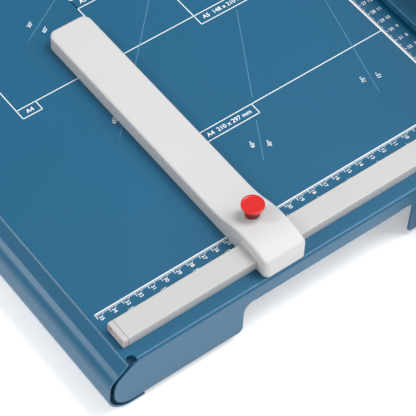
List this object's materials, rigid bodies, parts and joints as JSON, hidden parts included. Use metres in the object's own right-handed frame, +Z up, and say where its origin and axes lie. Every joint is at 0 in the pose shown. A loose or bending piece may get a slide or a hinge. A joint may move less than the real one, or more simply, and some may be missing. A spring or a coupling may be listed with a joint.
{
  "type": "rotary paper trimmer",
  "caption": "Table-top rotary paper trimmer: blue steel table with stop rails, sliding backstop arm, sprung clamp bar and a cutter head that slides on a guide rail.",
  "frame": {"origin": "on the desk under the middle of the trimmer's outer box", "axes": "+Z up, +X to the right across the table towards the cut line, +Y from the user's front edge to the back along the cut"},
  "size_m": [0.4058, 0.554, 0.119],
  "materials": {
    "table_blue": "textured blue powder coat",
    "light_grey": "light grey satin coat",
    "light_grey_cap": "light grey moulded plastic",
    "arm_plastic": "light grey moulded plastic, fine satin grain",
    "knob_red": "glossy red moulded plastic",
    "block_grey": "light grey moulded plastic",
    "head_charcoal": "charcoal moulded plastic",
    "guard_black": "black plastic",
    "soft_grip": "soft-touch grip",
    "rubber": "black rubber",
    "ground_steel": "ground hardened steel",
    "rail_aluminium": "anodised extruded aluminium",
    "nylon": "natural nylon",
    "zinc_steel": "zinc-plated steel"
  },
  "bodies": {
    "base": {"table_plate": "table_blue", "table_stiffeners": "table_blue", "front_fence_rail": "light_grey", "back_fence_rail": "light_grey", "front_fence_left_cap": "light_grey_cap", "front_fence_right_cap": "light_grey_cap", "back_fence_left_cap": "light_grey_cap", "back_fence_right_cap": "light_grey_cap", "fence_screws": "zinc_steel", "bed_beam": "rail_aluminium", "bed_knife": "ground_steel", "bed_knife_screws": "zinc_steel", "table_screws": "zinc_steel", "front_end_block": "block_grey", "back_end_block": "block_grey", "front_base_plate": "zinc_steel", "back_base_plate": "zinc_steel", "guide_rail": "rail_aluminium", "guide_rail_screws": "zinc_steel", "bed_beam_screws": "zinc_steel", "rail_bumpers": "rubber", "right_feet": "rubber", "left_feet": "rubber", "clamp_shoulder_screws": "zinc_steel", "clamp_springs": "zinc_steel"},
    "backstop": {"backstop_arm": "arm_plastic", "knob_washer": "nylon"},
    "knob": {"backstop_knob": "knob_red", "clamp_spindle": "zinc_steel", "spindle_clip": "zinc_steel"},
    "jaw": {"clamp_jaw": "zinc_steel"},
    "cutter_head": {"head_left_shell": "head_charcoal", "head_right_shell": "head_charcoal", "head_screws": "zinc_steel", "head_grip": "soft_grip", "front_slide_bush": "nylon", "back_slide_bush": "nylon", "blade_axle": "ground_steel", "thrust_washer": "zinc_steel", "blade_spring": "zinc_steel", "axle_nut": "zinc_steel", "hub_cap": "knob_red", "blade_guard": "guard_black"},
    "blade": {"rotary_blade": "ground_steel", "blade_hub": "rail_aluminium"},
    "clamp": {"clamp_bar": "table_blue", "clamp_grip_strip": "rubber"}
  },
  "joints": [
    {"name": "backstop_slide", "type": "slide", "parent": "base", "child": "backstop", "axis": [1, 0, 0], "range_m": [-0.1, 0.172]},
    {"name": "knob_turn", "type": "hinge", "parent": "backstop", "child": "knob", "pos_m": [-0.0631, -0.186, 0.07], "axis": [0, 0, 1], "range_deg": [0, 360]},
    {"name": "jaw_travel", "type": "slide", "parent": "backstop", "child": "jaw", "axis": [0, 0, -1], "range_m": [0, 0.0008]},
    {"name": "cutter_slide", "type": "slide", "parent": "base", "child": "cutter_head", "axis": [0, 1, 0], "range_m": [0, 0.418]},
    {"name": "blade_spin", "type": "hinge", "parent": "cutter_head", "child": "blade", "pos_m": [0.1669, -0.209, 0.0685], "axis": [1, 0, 0], "continuous": true},
    {"name": "clamp_press", "type": "slide", "parent": "base", "child": "clamp", "axis": [0, 0, -1], "range_m": [0, 0.0017], "stiffness_N_per_m": 2500, "springref_m": -0.004, "deforming": ["clamp_springs"]}
  ],
  "couplings": [
    {"joint": "knob_turn", "follows": "jaw_travel", "rad_per_m": 7854},
    {"joint": "blade_spin", "follows": "cutter_slide", "rad_per_m": -44.444}
  ]
}
